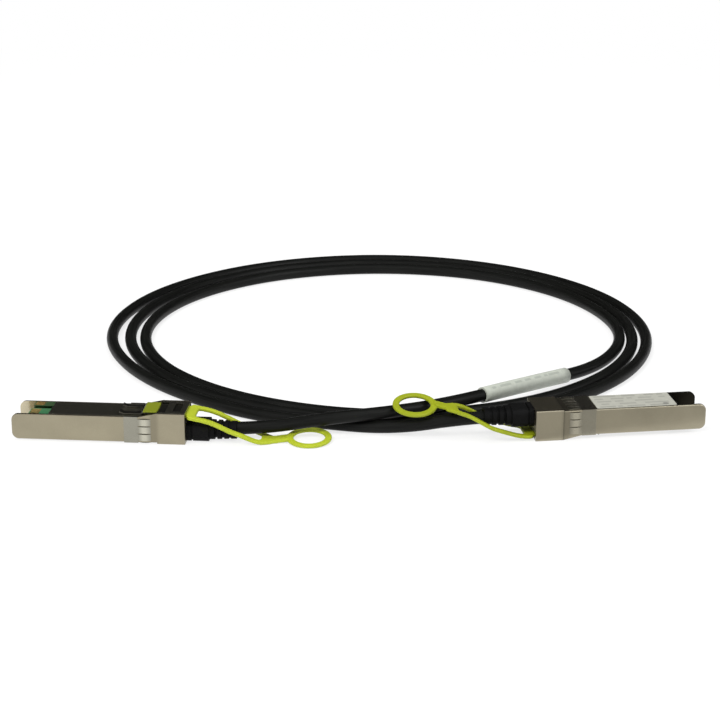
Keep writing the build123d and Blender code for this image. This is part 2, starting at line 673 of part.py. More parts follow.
def turn_radius(angle):
    """Radius of the coil at an angle that counts on from turn to turn."""
    place = angle / (360 / STATIONS_PER_TURN)
    n = min(int(place), len(TURN_RADII) - 2)
    share = place - n
    share = share * share * (3 - 2 * share)
    return TURN_RADII[n] * (1 - share) + TURN_RADII[n + 1] * share


def cable_route():
    """The cable's points: out of the left plug, over the coil, three turns, and in at the right."""
    points = [
        left_axis(JACKET_END),
        left_axis(-EXIT_RUN),
        *CROSSING,
        SLEEVE_CORNER,
        (*COIL_ENTRY, CABLE_RADIUS),
    ]
    step = 360 // POINTS_PER_TURN
    out = 1 / math.cos(math.radians(step / 2))
    for angle in range(0, COIL_END + 1, step):
        a = math.radians(angle)
        r = turn_radius(angle) * out
        points.append((COIL_CENTRE[0] + r * math.cos(a), COIL_CENTRE[1] + r * math.sin(a), CABLE_RADIUS))
    points += [(x, y, CABLE_RADIUS) for x, y in COIL_EXIT]
    points += [right_axis(-EXIT_RUN), right_axis(JACKET_END)]
    return [Vector(*p) for p in points]


def corner_radii(points):
    """The radius of each corner, as large as its two runs allow."""
    radii = []
    for before, corner, after in zip(points, points[1:], points[2:]):
        a = corner - before
        b = after - corner
        turn = math.radians(a.get_angle(b))
        radii.append(RUN_SHARE * min(a.length, b.length) / math.tan(turn / 2))
    return radii


def tube(points, radii, outer, inner=0.0):
    """A round tube along straight runs joined by tangent arcs."""
    path = FilletPolyline(*points, radius=radii)
    start = Plane(points[0], z_dir=points[1] - points[0])
    section = start * Circle(outer)
    if inner:
        section -= start * Circle(inner)
    return sweep(section, path=path), path.length


def sleeve_points(points, radii):
    """The stretch under the label sleeve: along one run, round its corner and along the next."""
    corner = points.index(Vector(*SLEEVE_CORNER))
    first = points[corner] + (points[corner - 1] - points[corner]) * SLEEVE_BEFORE
    last = points[corner] + (points[corner + 1] - points[corner]) * SLEEVE_AFTER
    return [first, points[corner], last], [radii[corner - 1]]


def plug_pieces(drop, web, ring):
    """Every piece of one plug in the plug's own frame."""
    return {
        "top_shell": [top_shell()],
        "bottom_shell": [bottom_shell()],
        "cover_rivets": cover_rivets(),
        "paddle_board": [paddle_board()],
        "contact_pads": contact_pads(),
        "memory_chip": [memory_chip()],
        "board_capacitors": board_capacitors(),
        "signal_wires": signal_wires(),
        "crimp_ring": [crimp_ring()],
        "strain_relief": [strain_relief()],
        "emi_collar": [emi_collar()],
        "latch_slider": [latch_slider()],
        "latch_springs": latch_springs(),
        "pull_strap": [pull_strap(drop, web, ring)],
    }


def all_parts():
    """Every piece of the cable in place, by name."""
    parts = {}
    for name, solids in plug_pieces(LEFT_DROP, LEFT_WEB, LEFT_RING).items():
        parts["left_" + name] = [lay_left(s) for s in solids]
    for name, solids in plug_pieces(RIGHT_DROP, RIGHT_WEB, RIGHT_RING).items():
        parts["right_" + name] = [lay_right(s) for s in solids]
    parts["right_label"] = [lay_right(right_label())]
    points = cable_route()
    radii = corner_radii(points)
    print("cable corner radii:", [round(r, 1) for r in radii])
    cable, length = tube(points, radii, CABLE_RADIUS)
    print("cable length", round(length, 1), "volume", round(cable.volume, 1))
    print("section times length", round(math.pi * CABLE_RADIUS**2 * length, 1))
    parts["cable"] = [cable]
    inner = CABLE_RADIUS + SLEEVE_PLAY
    sleeve, reach = tube(*sleeve_points(points, radii), inner + SLEEVE_WALL, inner)
    print("label sleeve length", round(reach, 1))
    parts["cable_label_sleeve"] = [sleeve]
    return parts


os.makedirs("parts", exist_ok=True)
for name, solids in all_parts().items():
    bodies = [body for solid in solids for body in solid.solids()]
    export_step(Compound(children=bodies), os.path.join("parts", name + ".step"))
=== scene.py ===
import math

import bpy
import bmesh
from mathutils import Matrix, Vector


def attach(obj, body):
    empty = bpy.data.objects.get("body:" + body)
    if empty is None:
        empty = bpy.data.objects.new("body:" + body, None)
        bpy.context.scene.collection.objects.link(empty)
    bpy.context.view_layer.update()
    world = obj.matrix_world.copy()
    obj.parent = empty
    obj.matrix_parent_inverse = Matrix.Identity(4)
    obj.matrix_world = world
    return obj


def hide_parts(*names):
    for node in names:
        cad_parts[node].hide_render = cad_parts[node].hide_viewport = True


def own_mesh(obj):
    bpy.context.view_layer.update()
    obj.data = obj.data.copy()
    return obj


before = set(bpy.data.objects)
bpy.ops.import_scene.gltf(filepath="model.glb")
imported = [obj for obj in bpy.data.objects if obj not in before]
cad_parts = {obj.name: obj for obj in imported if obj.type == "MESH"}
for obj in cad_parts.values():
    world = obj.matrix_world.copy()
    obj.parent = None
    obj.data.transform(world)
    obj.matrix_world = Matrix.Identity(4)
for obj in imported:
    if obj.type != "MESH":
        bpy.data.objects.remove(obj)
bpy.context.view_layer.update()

MM = 0.001

# Where the plugs lie and the sizes that the cable's route needs, in millimetres
LEFT_PLACE = (-55.6, -3.7)
LEFT_HEADING = 175.1
RIGHT_PLACE = (55.7, -0.7)
RIGHT_HEADING = 8.3
REAR_HEIGHT = 10.3
EXIT_HEIGHT = 7.1
JACKET_END = 5.4
CABLE_RADIUS = 2.1
SLEEVE_RADIUS = 2.65

# The coil: centre on the floor, and the radius of each turn at eight directions
COIL_CENTRE = (7.0, 102.0)
POINTS_PER_TURN = 12
STATIONS_PER_TURN = 8
TURN_RADII = [
    89.3, 88.0, 86.6, 86.5, 86.5, 85.3, 90.4, 92.4,
    93.8, 93.5, 93.4, 94.0, 92.1, 89.9, 96.0, 97.8,
    98.9, 99.0, 100.6, 99.8, 99.2, 94.8, 100.6,
]
COIL_END = 960

# Where the cable runs between the plugs and the coil, and what its label covers
EXIT_RUN = 20.0
CROSSING = [(-10.0, -3.2, 6.5), (10.0, 2.3, 6.6), (28.9, 10.5, 6.6)]
SLEEVE_CORNER = (57.7, 35.5, 5.0)
SLEEVE_BEFORE = 0.56
SLEEVE_AFTER = 0.5
COIL_ENTRY = (86.3, 62.5)
COIL_EXIT = [(-15.0, 4.9), (11.0, -1.3)]

# Smoothness of the cable's line, and sides of the cable and of its label tube
LINE_STEPS = 12
CABLE_SIDES = 24
SLEEVE_SIDES = 40

# Print on the label tube: rows of bars, their first and last place round the tube, the
# seed of their gaps, and the share of the tube's length where they start and end
SLEEVE_ROWS = (4, 0.10, 0.62, 3.0)
SLEEVE_PRINT = (0.08, 0.92)

# Label of the right plug: its middle, half its width and half its length
LABEL_MIDDLE = (88.95, 4.15)
LABEL_HALF = 6.1
LABEL_REACH = 13.3

# Print on the label: rows of bars, the seed of their gaps, the shares of the half length
# where they start and end, and the place and radius of the round spot
LABEL_ROWS = 5
LABEL_SEED = 5.0
LABEL_PRINT = (-0.92, 0.86)
LABEL_SPOT = (10.0, -4.2, 1.0)

# Printed bars: bars and gaps per metre of a row, offset from row to row, share of a row's
# height that they fill, and the noise above which there is a bar
BAR_SCALE = 420.0
ROW_OFFSET = 7.3
ROW_FILL = (0.28, 0.72)
BAR_LEVEL = 0.46

# Places along a plug, ahead of its rear face: the crowns of the collar's fingers, where a
# highlight is painted, the step of the body, where shade is painted, where the strap's head
# starts and how far its painted shade fades in, and where the nose opens between its cheeks
FINGER_CROWN = 13.1
STEP_SHADE = 10.0
HEAD_START = 5.0
HEAD_FADE = 2.0
NOSE_START = 42.0

# Half the width between the cheeks
CHEEK_INSIDE = 6.25

# The painted highlight on the crowns and the painted shade in the step: full share, and
# where it starts and ends to fade, in metres
CROWN_HIGHLIGHT_SHARE = 0.85
CROWN_HIGHLIGHT_FADE = (0.0005, 0.0019)
STEP_SHADE_SHARE = 0.9
STEP_SHADE_FADE = (0.0007, 0.0019)

# Moulded straps: voxel in metres, and factor and rounds of the smoothing
STRAP_VOXEL = 0.00022
STRAP_SMOOTHING = 0.5
STRAP_ROUNDS = 5

# Painted shade in cavities: how far a cavity's opposite wall may be for metal and plastic to
# be painted dark in it, in metres, the openness between which the painted shade fades, and
# what it leaves of plastic's colour
METAL_CAVITY = 0.014
METAL_OPEN = (0.60, 0.95)
PLASTIC_CAVITY = 0.003
PLASTIC_OPEN = (0.2, 0.8)
PLASTIC_DARK = 0.45

# Metal: stretch of its grain, noise of its pits and stains per metre, weight of the pits
# beside the grain, height of the relief in metres, and how wide its edges look rubbed
METAL_GRAIN = (500, 7000, 7000)
PIT_SCALE = 5200.0
STAIN_SCALE = 90.0
PIT_WEIGHT = 0.8
METAL_RELIEF = 0.00002
METAL_RUB = 0.25

# Metal: what is left of its base colour in stains and in the step's painted shade, factor of
# it where it is rubbed and where highlights and reflections are painted, factor and added
# light of its specks, roughness round the mean, and what is left of the roughness where a
# reflection is painted
DULL = 0.88
STEP_SHADED = 0.7
SHINY = 1.7
BRIGHT = (1.25, 0.03)
METAL_ROUGH = (-0.04, 0.05)
MIRROR_ROUGHNESS = 0.35

# Plastic: noise of its texture and of its drift per metre, radius of its edges and height
# of its relief in metres, how wide and how much its edges look scuffed, and the factor and
# added light of the scuffs
PLASTIC_GRAIN = 2500.0
DRIFT_SCALE = 160.0
PLASTIC_EDGE = 0.0002
PLASTIC_RELIEF = 0.00004
PLASTIC_RUB = 0.3
SCUFF_SHARE = 0.4
SCUFF = (1.2, 0.006)

# Roughness of plastic and film round the mean
SOFT_ROUGH = (-0.05, 0.06)

# Jacket: stretch of its streaks and waves, noise of its grain per metre and its weight
# beside the waves, roughness from dull to shiny, gloss, radius of its edges in metres, and
# strength and height of its relief
STREAKS = (60, 26, 1)
WAVES = (260, 3, 1)
JACKET_GRAIN = 1800.0
JACKET_WEIGHT = 0.25
JACKET_ROUGH = (0.48, 0.36)
JACKET_GLOSS = 0.12
JACKET_EDGE = 0.0001
JACKET_BUMP = 0.25
JACKET_RELIEF = 0.00008

# Film: noise of its paper per metre, how much paler its light parts are, share of ink in
# the bars and in the spot, gloss, radius of its edges in metres, strength and height of its
# relief, and roughness of the two films
FILM_GRAIN = 700.0
PALER = 1.12
BAR_INK = (0.30, 0.42)
SPOT_INK = 0.75
FILM_GLOSS = 0.35
FILM_EDGE = 0.0002
FILM_BUMP = 0.15
FILM_RELIEF = 0.00005
LABEL_ROUGH = 0.45
SLEEVE_ROUGH = 0.42

# Rays that the shaders send out to find edges and cavities
EDGE_RAYS = 6
CAVITY_RAYS = 8

# Colours of the finishes
LEFT_NICKEL = (0.365, 0.328, 0.235)
# painted light: the right shell's nickel is a lighter copy of the left's, for how light falls on it
LIT_RIGHT_NICKEL = (0.387, 0.351, 0.261)
COVER_NICKEL = (0.37, 0.355, 0.285)
LEFT_STEEL = (0.33, 0.32, 0.265)
RIGHT_STEEL = (0.345, 0.325, 0.26)
LATCH_STEEL = (0.34, 0.33, 0.28)
# painted shade: the slider's steel is darkened for the shade on its prongs
SHADED_SLIDER_STEEL = (0.15, 0.145, 0.12)
SPRING_STEEL = (0.46, 0.46, 0.43)
PAD_GOLD = (0.80, 0.53, 0.20)
BOARD_GREEN = (0.015, 0.13, 0.05)
CHIP_BLACK = (0.02, 0.02, 0.021)
CAPACITOR_TAN = (0.36, 0.27, 0.18)
WIRE_WHITE = (0.62, 0.61, 0.56)
BOOT_BLACK = (0.003, 0.003, 0.0031)
LEFT_LIME = (0.37, 0.435, 0.020)
# painted shade: the right strap's lime is a darker copy of the left's, for the shade on it
SHADED_RIGHT_LIME = (0.27, 0.315, 0.007)
JACKET_DARK = (0.0022, 0.0023, 0.0021)
JACKET_LIGHT = (0.0085, 0.009, 0.008)
LABEL_PAPER = (0.37, 0.37, 0.325)
LABEL_INK = (0.14, 0.14, 0.13)
SLEEVE_PAPER = (0.43, 0.455, 0.40)
SLEEVE_INK = (0.18, 0.19, 0.175)

# Studio: strength of the world, and the floor's size, tone, roughness and own white, which
# grows to pure white between two distances from its middle
WORLD_LIGHT = 0.45
FLOOR_SIZE = 12.0
FLOOR_TONE = 0.93
FLOOR_ROUGH = 0.9
FLOOR_GLOW = 0.75
SHADOW_REACH = (0.30, 0.75)

# Planes that only reflections see: a dark flag behind and over the cable, and a grey card
# before the right plug
FLAG_SIZE = (6.0, 3.0)
FLAG_PLACE = (0.0, 1.0, 1.35)
FLAG_TILT = 120.0
FLAG_GREY = 0.034
CARD_SIZE = (0.5, 0.34)
CARD_PLACE = (0.30, -0.178, 0.0004)
CARD_GREY = 0.62
REFLECTED_TINT = (1, 0.99, 0.96, 1)

# Lamps: name, place, target, size, power in watts, colour, and whether reflections show it
LAMPS = [
    ("key", (-0.7, -0.9, 1.3), (0, 0.05, 0), (0.9, 0.7), 21, (1.0, 0.985, 0.96), False),
    ("fill", (0.95, -0.5, 0.9), (0, 0.05, 0), (0.7, 0.7), 6, (0.97, 0.985, 1.0), True),
    ("top", (0.0, 0.5, 1.5), (0, 0.08, 0), (1.0, 0.8), 9, (1.0, 1.0, 1.0), False),
]

# Camera of the photograph
CAMERA_PLACE = (0.0, -0.6323, 0.2356)
CAMERA_TILT = 71.6
CAMERA_LENS = 103.45
CAMERA_SENSOR = 36.0


def axis_point(place, heading, x, height):
    """A point on a plug's cable axis, x ahead of its rear face, in metres."""
    a = math.radians(heading)
    return Vector((place[0] + x * math.cos(a), place[1] + x * math.sin(a), height)) * MM


def left_axis(x):
    """A point on the left plug's cable axis. The plug lies with its latch face up."""
    return axis_point(LEFT_PLACE, LEFT_HEADING, x, REAR_HEIGHT - EXIT_HEIGHT)


def right_axis(x):
    """A point on the right plug's cable axis."""
    return axis_point(RIGHT_PLACE, RIGHT_HEADING, x, EXIT_HEIGHT)


def turn_radius(angle):
    """Radius of the coil at an angle that counts on from turn to turn."""
    place = angle / (360 / STATIONS_PER_TURN)
    n = min(int(place), len(TURN_RADII) - 2)
    share = place - n
    share = share * share * (3 - 2 * share)
    return TURN_RADII[n] * (1 - share) + TURN_RADII[n + 1] * share


def cable_route():
    """The cable's points, as the construction has them, in metres."""
    tour = [*CROSSING, SLEEVE_CORNER, (*COIL_ENTRY, CABLE_RADIUS)]
    step = 360 // POINTS_PER_TURN
    out = 1 / math.cos(math.radians(step / 2))
    for angle in range(0, COIL_END + 1, step):
        a = math.radians(angle)
        r = turn_radius(angle) * out
        x = COIL_CENTRE[0] + r * math.cos(a)
        y = COIL_CENTRE[1] + r * math.sin(a)
        tour.append((x, y, CABLE_RADIUS))
    tour += [(x, y, CABLE_RADIUS) for x, y in COIL_EXIT]
    points = [left_axis(JACKET_END), left_axis(-EXIT_RUN)]
    points += [Vector(p) * MM for p in tour]
    return points + [right_axis(-EXIT_RUN), right_axis(JACKET_END)]


def spline_line(points, steps):
    """Points read along the smooth spline that has the route as its control points."""
    data = bpy.data.curves.new("line", "CURVE")
    data.dimensions = "3D"
    spline = data.splines.new("NURBS")
    spline.points.add(len(points) - 1)
    for knot, p in zip(spline.points, points):
        knot.co = (p.x, p.y, p.z, 1)
    spline.order_u = 3
    spline.use_endpoint_u = True
    spline.resolution_u = steps
    data.resolution_u = steps
    holder = bpy.data.objects.new("line", data)
    bpy.context.collection.objects.link(holder)
    mesh = bpy.data.meshes.new_from_object(holder)
    line = [v.co.copy() for v in mesh.vertices]
    bpy.data.objects.remove(holder)
    bpy.data.meshes.remove(mesh)
    return line


def frames_along(line):
    """Two crosswise directions at each point of a line, carried along without twist."""
    tangents = []
    for n in range(len(line)):
        before = line[max(n - 1, 0)]
        after = line[min(n + 1, len(line) - 1)]
        tangents.append((after - before).normalized())
    side = tangents[0].cross(Vector((0, 0, 1))).normalized()
    out = []
    for t in tangents:
        side = (side - t * side.dot(t)).normalized()
        out.append((side, side.cross(t).normalized()))
    return out


def tube(name, line, radius, sides):
    """A tube mesh along a line, with u running along it in metres and v once round."""
    bm = bmesh.new()
    uv = bm.loops.layers.uv.new("UVMap")
    rings = []
    travelled = [0.0]
    for a, b in zip(line, line[1:]):
        travelled.append(travelled[-1] + (b - a).length)
    for centre, (side, up) in zip(line, frames_along(line)):
        ring = []
        for k in range(sides):
            a = 2 * math.pi * k / sides
            arm = side * (radius * math.cos(a)) + up * (radius * math.sin(a))
            ring.append(bm.verts.new(centre + arm))
        rings.append(ring)
    for n in range(len(rings) - 1):
        for k in range(sides):
            j = (k + 1) % sides
            face = bm.faces.new((rings[n][k], rings[n][j], rings[n + 1][j], rings[n + 1][k]))
            face.smooth = True
            corners = ((n, k), (n, k + 1), (n + 1, k + 1), (n + 1, k))
            for loop, (m, v) in zip(face.loops, corners):
                loop[uv].uv = (travelled[m], v / sides)
    bm.faces.new(list(reversed(rings[0])))
    bm.faces.new(rings[-1])
    bmesh.ops.recalc_face_normals(bm, faces=bm.faces)
    mesh = bpy.data.meshes.new(name)
    bm.to_mesh(mesh)
    bm.free()
    obj = bpy.data.objects.new(name, mesh)
    bpy.context.collection.objects.link(obj)
    return obj


# Materials

def new_material(name):
    """An empty node material with its shader: material, node tree and shader."""
    material = bpy.data.materials.new(name)
    material.use_nodes = True
    tree = material.node_tree
    shader = tree.nodes["Principled BSDF"]
    return material, tree, shader


def link(tree, a, b):
    tree.links.new(a, b)


def place_of(tree, kind="Object"):
    """A coordinate of the shaded point, in metres unless it is the UV map."""
    return tree.nodes.new("ShaderNodeTexCoord").outputs[kind]


def stretched(tree, source, scale):
    """A coordinate scaled by three numbers."""
    node = tree.nodes.new("ShaderNodeMapping")
    node.inputs["Scale"].default_value = scale
    link(tree, source, node.inputs["Vector"])
    return node.outputs["Vector"]


def noise(tree, source, scale, detail, roughness):
    """Noise at a coordinate, as a factor."""
    node = tree.nodes.new("ShaderNodeTexNoise")
    node.inputs["Scale"].default_value = scale
    node.inputs["Detail"].default_value = detail
    node.inputs["Roughness"].default_value = roughness
    link(tree, source, node.inputs["Vector"])
    return node.outputs["Fac"]


def ramp(tree, source, low, high, low_value, high_value):
    """Maps low..high of a factor onto two values."""
    node = tree.nodes.new("ShaderNodeMapRange")
    node.inputs["From Min"].default_value = low
    node.inputs["From Max"].default_value = high
    node.inputs["To Min"].default_value = low_value
    node.inputs["To Max"].default_value = high_value
    link(tree, source, node.inputs["Value"])
    return node.outputs["Result"]


def mix(tree, factor, a, b):
    """Mixes two colours, each a colour or a socket."""
    node = tree.nodes.new("ShaderNodeMix")
    node.data_type = "RGBA"
    link(tree, factor, node.inputs["Factor"])
    for socket, value in ((node.inputs["A"], a), (node.inputs["B"], b)):
        if isinstance(value, tuple):
            socket.default_value = (*value, 1)
        else:
            link(tree, value, socket)
    return node.outputs["Result"]


def maths(tree, operation, a, b):
    """One operation on two values, each a number or a socket."""
    node = tree.nodes.new("ShaderNodeMath")
    node.operation = operation
    for socket, value in zip(node.inputs, (a, b)):
        if isinstance(value, (int, float)):
            socket.default_value = value
        else:
            link(tree, value, socket)
    return node.outputs["Value"]


def soft_edges(tree, shader, radius, height, strength, distance):
    """Rounds the look of sharp edges under a bump, and gives the rounded normal back."""
    bevel = tree.nodes.new("ShaderNodeBevel")
    bevel.samples = EDGE_RAYS
    bevel.inputs["Radius"].default_value = radius
    bump = tree.nodes.new("ShaderNodeBump")
    bump.inputs["Strength"].default_value = strength
    bump.inputs["Distance"].default_value = distance
    link(tree, height, bump.inputs["Height"])
    link(tree, bevel.outputs["Normal"], bump.inputs["Normal"])
    link(tree, bump.outputs["Normal"], shader.inputs["Normal"])
    return bevel.outputs["Normal"]


def edge_share(tree, soft_normal, reach):
    """How near a point is to a sharp edge: 0 on the flats, 1 on the edge."""
    geometry = tree.nodes.new("ShaderNodeNewGeometry")
    dot = tree.nodes.new("ShaderNodeVectorMath")
    dot.operation = "DOT_PRODUCT"
    link(tree, soft_normal, dot.inputs[0])
    link(tree, geometry.outputs["Normal"], dot.inputs[1])
    return ramp(tree, dot.outputs["Value"], 1.0, 1.0 - reach, 0.0, 1.0)


def openness(tree, reach):
    """1 on a piece's open faces, towards 0 deep in its own cavities."""
    node = tree.nodes.new("ShaderNodeAmbientOcclusion")
    node.samples = CAVITY_RAYS
    node.only_local = True
    node.inputs["Distance"].default_value = reach
    return node.outputs["AO"]


def unshaded_share(tree, reach, opening, in_shade):
    """Share of a finish left free of the painted cavity shade, less where a given share puts it in
    painted shade as well.
    """
    share = ramp(tree, openness(tree, reach), *opening, 0.0, 1.0)
    if in_shade:
        share = maths(tree, "MULTIPLY", share, maths(tree, "SUBTRACT", 1.0, in_shade(tree)))
    return share


def around(tree, texture, mean, spread):
    """A value that wanders round its mean with a texture."""
    return ramp(tree, texture, 0.3, 0.7, mean + spread[0], mean + spread[1])


def metal(name, colour, rough, wear=0.15, bump=0.12, edge=0.0001, dark=0.2,
          painted_highlight=None, shade=None, in_shade=None, painted_reflection=None):
    """Plated or stamped metal: fine grain, faint stains, rubbed edges, painted shade in cavities.

    Of the optional shares, the first adds bright metal as a painted highlight, the second
    duller metal as painted shade in a step, the third more of the painted shade of cavities,
    and the last brighter, smoother metal as a painted reflection on faces that are smooth
    enough to show what lies before them.
    """
    material, tree, shader = new_material(name)
    place = place_of(tree)
    fine = noise(tree, stretched(tree, place, METAL_GRAIN), 1.0, 4.0, 0.6)
    pits = noise(tree, place, PIT_SCALE, 2.0, 0.7)
    broad = noise(tree, place, STAIN_SCALE, 3.0, 0.5)
    height = maths(tree, "ADD", fine, maths(tree, "MULTIPLY", pits, PIT_WEIGHT))
    normal = soft_edges(tree, shader, edge, height, bump, METAL_RELIEF)
    wear_and_highlight = maths(tree, "MULTIPLY", edge_share(tree, normal, METAL_RUB), wear)
    # painted highlight: bright metal on the crowns of the collar's fingers
    if painted_highlight:
        wear_and_highlight = maths(tree, "MAXIMUM", wear_and_highlight, painted_highlight(tree))
    dull = tuple(c * DULL for c in colour)
    bright = tuple(min(1.0, c * BRIGHT[0] + BRIGHT[1]) for c in colour)
    shiny = tuple(min(1.0, c * SHINY) for c in colour)
    step_shaded = tuple(c * STEP_SHADED for c in colour)
    # painted shade: the colour that the piece's cavities get
    cavity_shade = tuple(c * dark for c in colour)
    stained = mix(tree, ramp(tree, broad, 0.35, 0.7, 0.0, 1.0), colour, dull)
    speckled = mix(tree, ramp(tree, pits, 0.45, 0.8, 0.0, 0.30), stained, bright)
    surface_colour = mix(tree, wear_and_highlight, speckled, shiny)
    # painted shade: duller metal in the step of the body
    if shade:
        surface_colour = mix(tree, shade(tree), surface_colour, step_shaded)
    # painted reflection: brighter metal on the given faces, which are also made smoother below
    if painted_reflection:
        surface_colour = mix(tree, painted_reflection(tree), surface_colour, shiny)
    unshaded = unshaded_share(tree, METAL_CAVITY, METAL_OPEN, in_shade)
    link(tree, mix(tree, unshaded, cavity_shade, surface_colour), shader.inputs["Base Color"])
    roughness = around(tree, fine, rough, METAL_ROUGH)
    if painted_reflection:
        smoother = ramp(tree, painted_reflection(tree), 0.0, 1.0, 1.0, MIRROR_ROUGHNESS)
        roughness = maths(tree, "MULTIPLY", roughness, smoother)
    link(tree, roughness, shader.inputs["Roughness"])
    shader.inputs["Metallic"].default_value = 1.0
    return material


def moulded(name, colour, rough, spread=0.12, bump=0.15, specular=0.5, in_shade=None):
    """Moulded plastic or rubber: fine texture, slight colour drift, scuffed edges and painted shade
    in cavities.

    Its last argument is a further share painted in shade, where the piece sits in the dark of
    another piece.
    """
    material, tree, shader = new_material(name)
    place = place_of(tree)
    fine = noise(tree, place, PLASTIC_GRAIN, 3.0, 0.6)
    broad = noise(tree, place, DRIFT_SCALE, 3.0, 0.5)
    normal = soft_edges(tree, shader, PLASTIC_EDGE, fine, bump, PLASTIC_RELIEF)
    darker = tuple(c * (1 - spread) for c in colour)
    lighter = tuple(min(1.0, c * (1 + spread) + 0.002) for c in colour)
    drift = mix(tree, ramp(tree, broad, 0.3, 0.7, 0.0, 1.0), darker, lighter)
    scuffed = tuple(min(1.0, c * SCUFF[0] + SCUFF[1]) for c in colour)
    share = maths(tree, "MULTIPLY", edge_share(tree, normal, PLASTIC_RUB), SCUFF_SHARE)
    surface_colour = mix(tree, share, drift, scuffed)
    # painted shade: the colour that the piece's cavities get
    cavity_shade = tuple(c * PLASTIC_DARK for c in colour)
    unshaded = unshaded_share(tree, PLASTIC_CAVITY, PLASTIC_OPEN, in_shade)
    link(tree, mix(tree, unshaded, cavity_shade, surface_colour), shader.inputs["Base Color"])
    link(tree, around(tree, fine, rough, SOFT_ROUGH), shader.inputs["Roughness"])
    shader.inputs["Specular IOR Level"].default_value = specular
    return material


def jacket_material():
    """Extruded satin jacket: streaks along its length and a slight unevenness."""
    material, tree, shader = new_material("jacket_black")
    uv = place_of(tree, "UV")
    streaks = noise(tree, stretched(tree, uv, STREAKS), 1.0, 4.0, 0.6)
    grain = noise(tree, place_of(tree), JACKET_GRAIN, 3.0, 0.6)
    waves = noise(tree, stretched(tree, uv, WAVES), 1.0, 2.0, 0.5)
    share = ramp(tree, streaks, 0.35, 0.72, 0.0, 1.0)
    link(tree, mix(tree, share, JACKET_DARK, JACKET_LIGHT), shader.inputs["Base Color"])
    link(tree, ramp(tree, streaks, 0.3, 0.75, *JACKET_ROUGH), shader.inputs["Roughness"])
    shader.inputs["Specular IOR Level"].default_value = JACKET_GLOSS
    height = maths(tree, "ADD", maths(tree, "MULTIPLY", grain, JACKET_WEIGHT), waves)
    soft_edges(tree, shader, JACKET_EDGE, height, JACKET_BUMP, JACKET_RELIEF)
    return material


def bars(tree, along, across, count, low, high, seed):
    """Rows of short plain bars between low and high of the across coordinate."""
    row = maths(tree, "MULTIPLY", maths(tree, "SUBTRACT", across, low), count / (high - low))
    cell = maths(tree, "FRACT", row, 0)
    number = maths(tree, "FLOOR", row, 0)
    in_row = within(tree, cell, *ROW_FILL)
    inside = within(tree, across, low, high)
    combine = tree.nodes.new("ShaderNodeCombineXYZ")
    link(tree, maths(tree, "MULTIPLY", along, BAR_SCALE), combine.inputs["X"])
    offset = maths(tree, "MULTIPLY", number, ROW_OFFSET)
    link(tree, maths(tree, "ADD", offset, seed), combine.inputs["Y"])
    broken = noise(tree, combine.outputs["Vector"], 1.0, 0.0, 0.5)
    bar = maths(tree, "GREATER_THAN", broken, BAR_LEVEL)
    return maths(tree, "MULTIPLY", maths(tree, "MULTIPLY", in_row, inside), bar)


def within(tree, value, low, high):
    """1 where a value lies between two limits."""
    above = maths(tree, "GREATER_THAN", value, low)
    return maths(tree, "MULTIPLY", above, maths(tree, "LESS_THAN", value, high))


def printed(name, along, across, rows, ends, paper, ink, rough, spot=None):
    """Pale printed film: rows of short grey bars between two ends, and perhaps a spot."""
    material, tree, shader = new_material(name)
    x = along(tree)
    y = across(tree)
    film = noise(tree, place_of(tree), FILM_GRAIN, 3.0, 0.6)
    paler = tuple(c * PALER for c in paper)
    base = mix(tree, ramp(tree, film, 0.35, 0.7, 0.0, 1.0), paper, paler)
    share = maths(tree, "MULTIPLY", bars(tree, x, y, *rows), within(tree, x, *ends))
    share = maths(tree, "MULTIPLY", share, ramp(tree, film, 0.3, 0.6, *BAR_INK))
    if spot:
        dx = maths(tree, "SUBTRACT", x, spot[0] * MM)
        dy = maths(tree, "SUBTRACT", y, spot[1] * MM)
        squares = [maths(tree, "MULTIPLY", d, d) for d in (dx, dy)]
        squared = maths(tree, "ADD", *squares)
        inside = maths(tree, "LESS_THAN", squared, (spot[2] * MM) ** 2)
        share = maths(tree, "MAXIMUM", share, maths(tree, "MULTIPLY", inside, SPOT_INK))
    link(tree, mix(tree, share, base, ink), shader.inputs["Base Color"])
    link(tree, around(tree, film, rough, SOFT_ROUGH), shader.inputs["Roughness"])
    shader.inputs["Specular IOR Level"].default_value = FILM_GLOSS
    soft_edges(tree, shader, FILM_EDGE, film, FILM_BUMP, FILM_RELIEF)
    return material


def uv_axis(axis):
    """One axis of the UV map."""

    def read(tree):
        split = tree.nodes.new("ShaderNodeSeparateXYZ")
        link(tree, place_of(tree, "UV"), split.inputs[0])
        return split.outputs[axis]

    return read


def local_axis(axis, place, heading):
    """One axis of a frame laid on the floor plan at a place and heading, in metres."""

    def read(tree):
        node = tree.nodes.new("ShaderNodeMapping")
        node.vector_type = "TEXTURE"
        node.inputs["Location"].default_value = (place[0] * MM, place[1] * MM, 0)
        node.inputs["Rotation"].default_value = (0, 0, math.radians(heading))
        link(tree, place_of(tree), node.inputs["Vector"])
        split = tree.nodes.new("ShaderNodeSeparateXYZ")
        link(tree, node.outputs["Vector"], split.inputs[0])
        return split.outputs[axis]

    return read


def finger_painted_highlight(place, heading):
    """Share of bright metal painted as a highlight on the crowns of the collar's fingers."""

    def read(tree):
        away = maths(tree, "SUBTRACT", local_axis("X", place, heading)(tree), FINGER_CROWN * MM)
        distance = maths(tree, "ABSOLUTE", away, 0)
        return ramp(tree, distance, *CROWN_HIGHLIGHT_FADE, CROWN_HIGHLIGHT_SHARE, 0.0)

    return read


def step_shade(place, heading):
    """Share of duller metal painted as shade in the step between the body and its wide rear."""

    def read(tree):
        away = maths(tree, "SUBTRACT", local_axis("X", place, heading)(tree), STEP_SHADE * MM)
        distance = maths(tree, "ABSOLUTE", away, 0)
        return ramp(tree, distance, *STEP_SHADE_FADE, STEP_SHADE_SHARE, 0.0)

    return read


